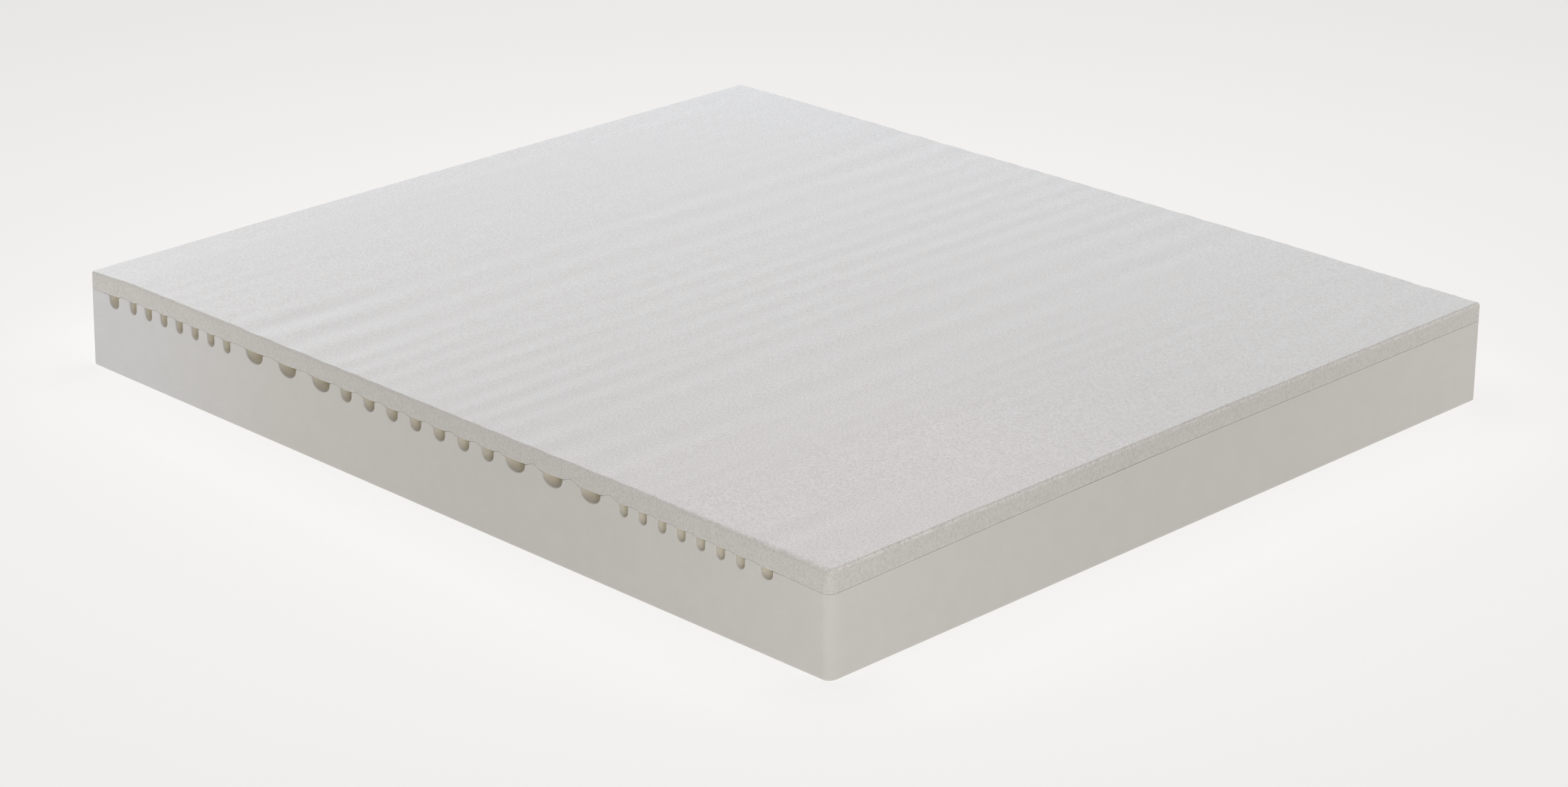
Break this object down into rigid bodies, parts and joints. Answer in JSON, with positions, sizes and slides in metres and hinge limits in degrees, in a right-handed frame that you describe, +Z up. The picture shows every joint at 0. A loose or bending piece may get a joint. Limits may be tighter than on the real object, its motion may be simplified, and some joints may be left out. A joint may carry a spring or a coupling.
{
  "type": "foam massage mattress",
  "caption": "Rectangular foam mattress core: a thick block with grooves cut across its top, under a thinner foam sheet, lying flat.",
  "frame": {"origin": "on the ground, under the middle of the mattress", "axes": "+X along the long side that shows the groove ends, towards the plain end with the wider margin; +Y along the grooves, away from that side; +Z up"},
  "size_m": [1.9, 1.65, 0.1966],
  "materials": {
    "block_foam": "matte cut foam, warm off-white",
    "sheet_foam": "matte fine-grained foam, near white"
  },
  "bodies": {
    "root": {"base_block": "block_foam", "top_slab": "sheet_foam"}
  },
  "joints": []
}
